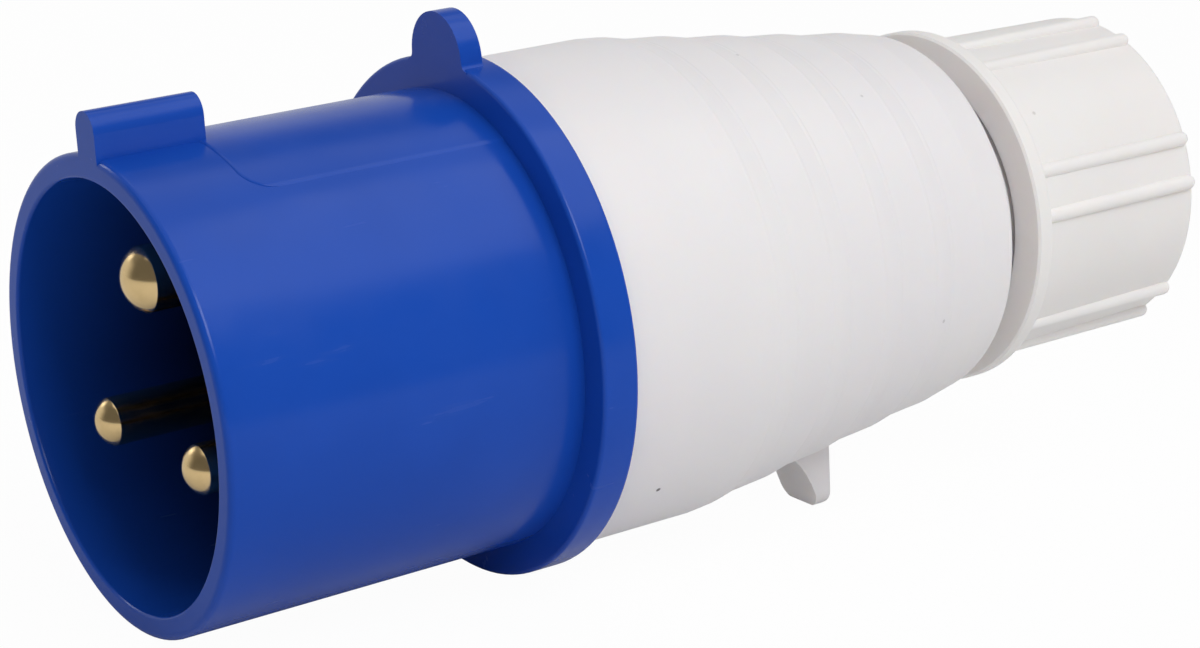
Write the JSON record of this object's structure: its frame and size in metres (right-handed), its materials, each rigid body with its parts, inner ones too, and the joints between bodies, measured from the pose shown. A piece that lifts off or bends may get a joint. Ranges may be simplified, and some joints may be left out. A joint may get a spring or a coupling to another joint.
{
  "type": "industrial pin and sleeve plug",
  "caption": "Splash-proof industrial plug with a keyed blue sleeve round brass pins, a white tapered rear housing and a ribbed cable gland nut.",
  "frame": {"origin": "centre of the sleeve's mouth, on the plug's axis", "axes": "+X along the plug's axis from the mouth to the cable entry, +Z through the key rib, the ear and the earth pin"},
  "size_m": [0.1537, 0.066, 0.0766],
  "materials": {
    "blue_shell": "moulded, semi-gloss",
    "carrier": "moulded, fine texture",
    "pin_brass": "turned and polished",
    "steel": "zinc plated",
    "seal_rubber": "moulded rubber",
    "white_shell": "moulded, satin",
    "gland_plastic": "moulded, satin",
    "white_nut": "moulded, satin"
  },
  "bodies": {
    "plug_front": {"front_sleeve": "blue_shell", "pin_carrier": "carrier", "carrier_cover": "carrier", "carrier_screws": "steel", "earth_pin": "pin_brass", "line_pin": "pin_brass", "neutral_pin": "pin_brass", "earth_pressure_plate": "steel", "line_pressure_plate": "steel", "neutral_pressure_plate": "steel", "earth_terminal_screw": "steel", "live_terminal_screws": "steel", "housing_seal": "seal_rubber"},
    "plug_rear": {"housing": "white_shell", "clamp_cage": "gland_plastic", "gland_seal": "seal_rubber"},
    "gland_travel": {"slip_ring": "gland_plastic"},
    "gland_turn": {"gland_nut": "white_nut"}
  },
  "joints": [
    {"name": "housing_twist", "type": "hinge", "parent": "plug_front", "child": "plug_rear", "pos_m": [0.0565, 0, 0], "axis": [1, 0, 0], "range_deg": [0, 40]},
    {"name": "nut_travel", "type": "slide", "parent": "plug_rear", "child": "gland_travel", "axis": [1, 0, 0], "range_m": [0, 0.009]},
    {"name": "nut_twist", "type": "hinge", "parent": "gland_travel", "child": "gland_turn", "pos_m": [0.138, 0, 0], "axis": [1, 0, 0], "range_deg": [0, 1081]}
  ],
  "couplings": [
    {"joint": "nut_twist", "follows": "nut_travel", "rad_per_m": 2094.4}
  ]
}
